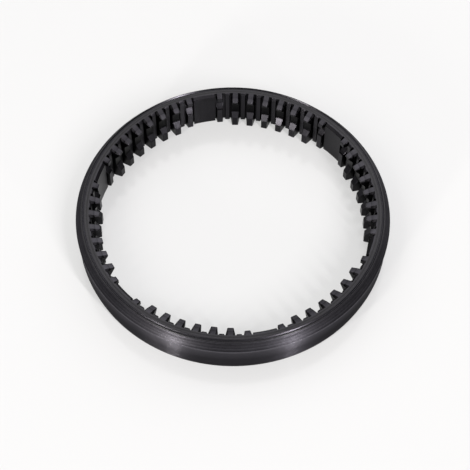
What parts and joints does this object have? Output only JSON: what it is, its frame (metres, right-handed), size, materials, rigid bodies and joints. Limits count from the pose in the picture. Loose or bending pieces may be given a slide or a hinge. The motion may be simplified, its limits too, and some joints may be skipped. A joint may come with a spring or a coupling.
{
  "type": "synchronizer ring",
  "caption": "Dark steel sliding ring of a gearbox synchronizer, turned with a flange and cone outside, with bevelled teeth, low ridges and smooth lands inside.",
  "frame": {"origin": "on the ring's axis, in the plane of the bottom face that it lies on", "axes": "+Z along the ring's axis, up through the face with the turned line; +X through the middle of a smooth land"},
  "size_m": [0.18, 0.18, 0.0245],
  "materials": {
    "dark_steel": "satin, blackened"
  },
  "bodies": {
    "root": {"ring": "dark_steel"}
  },
  "joints": []
}
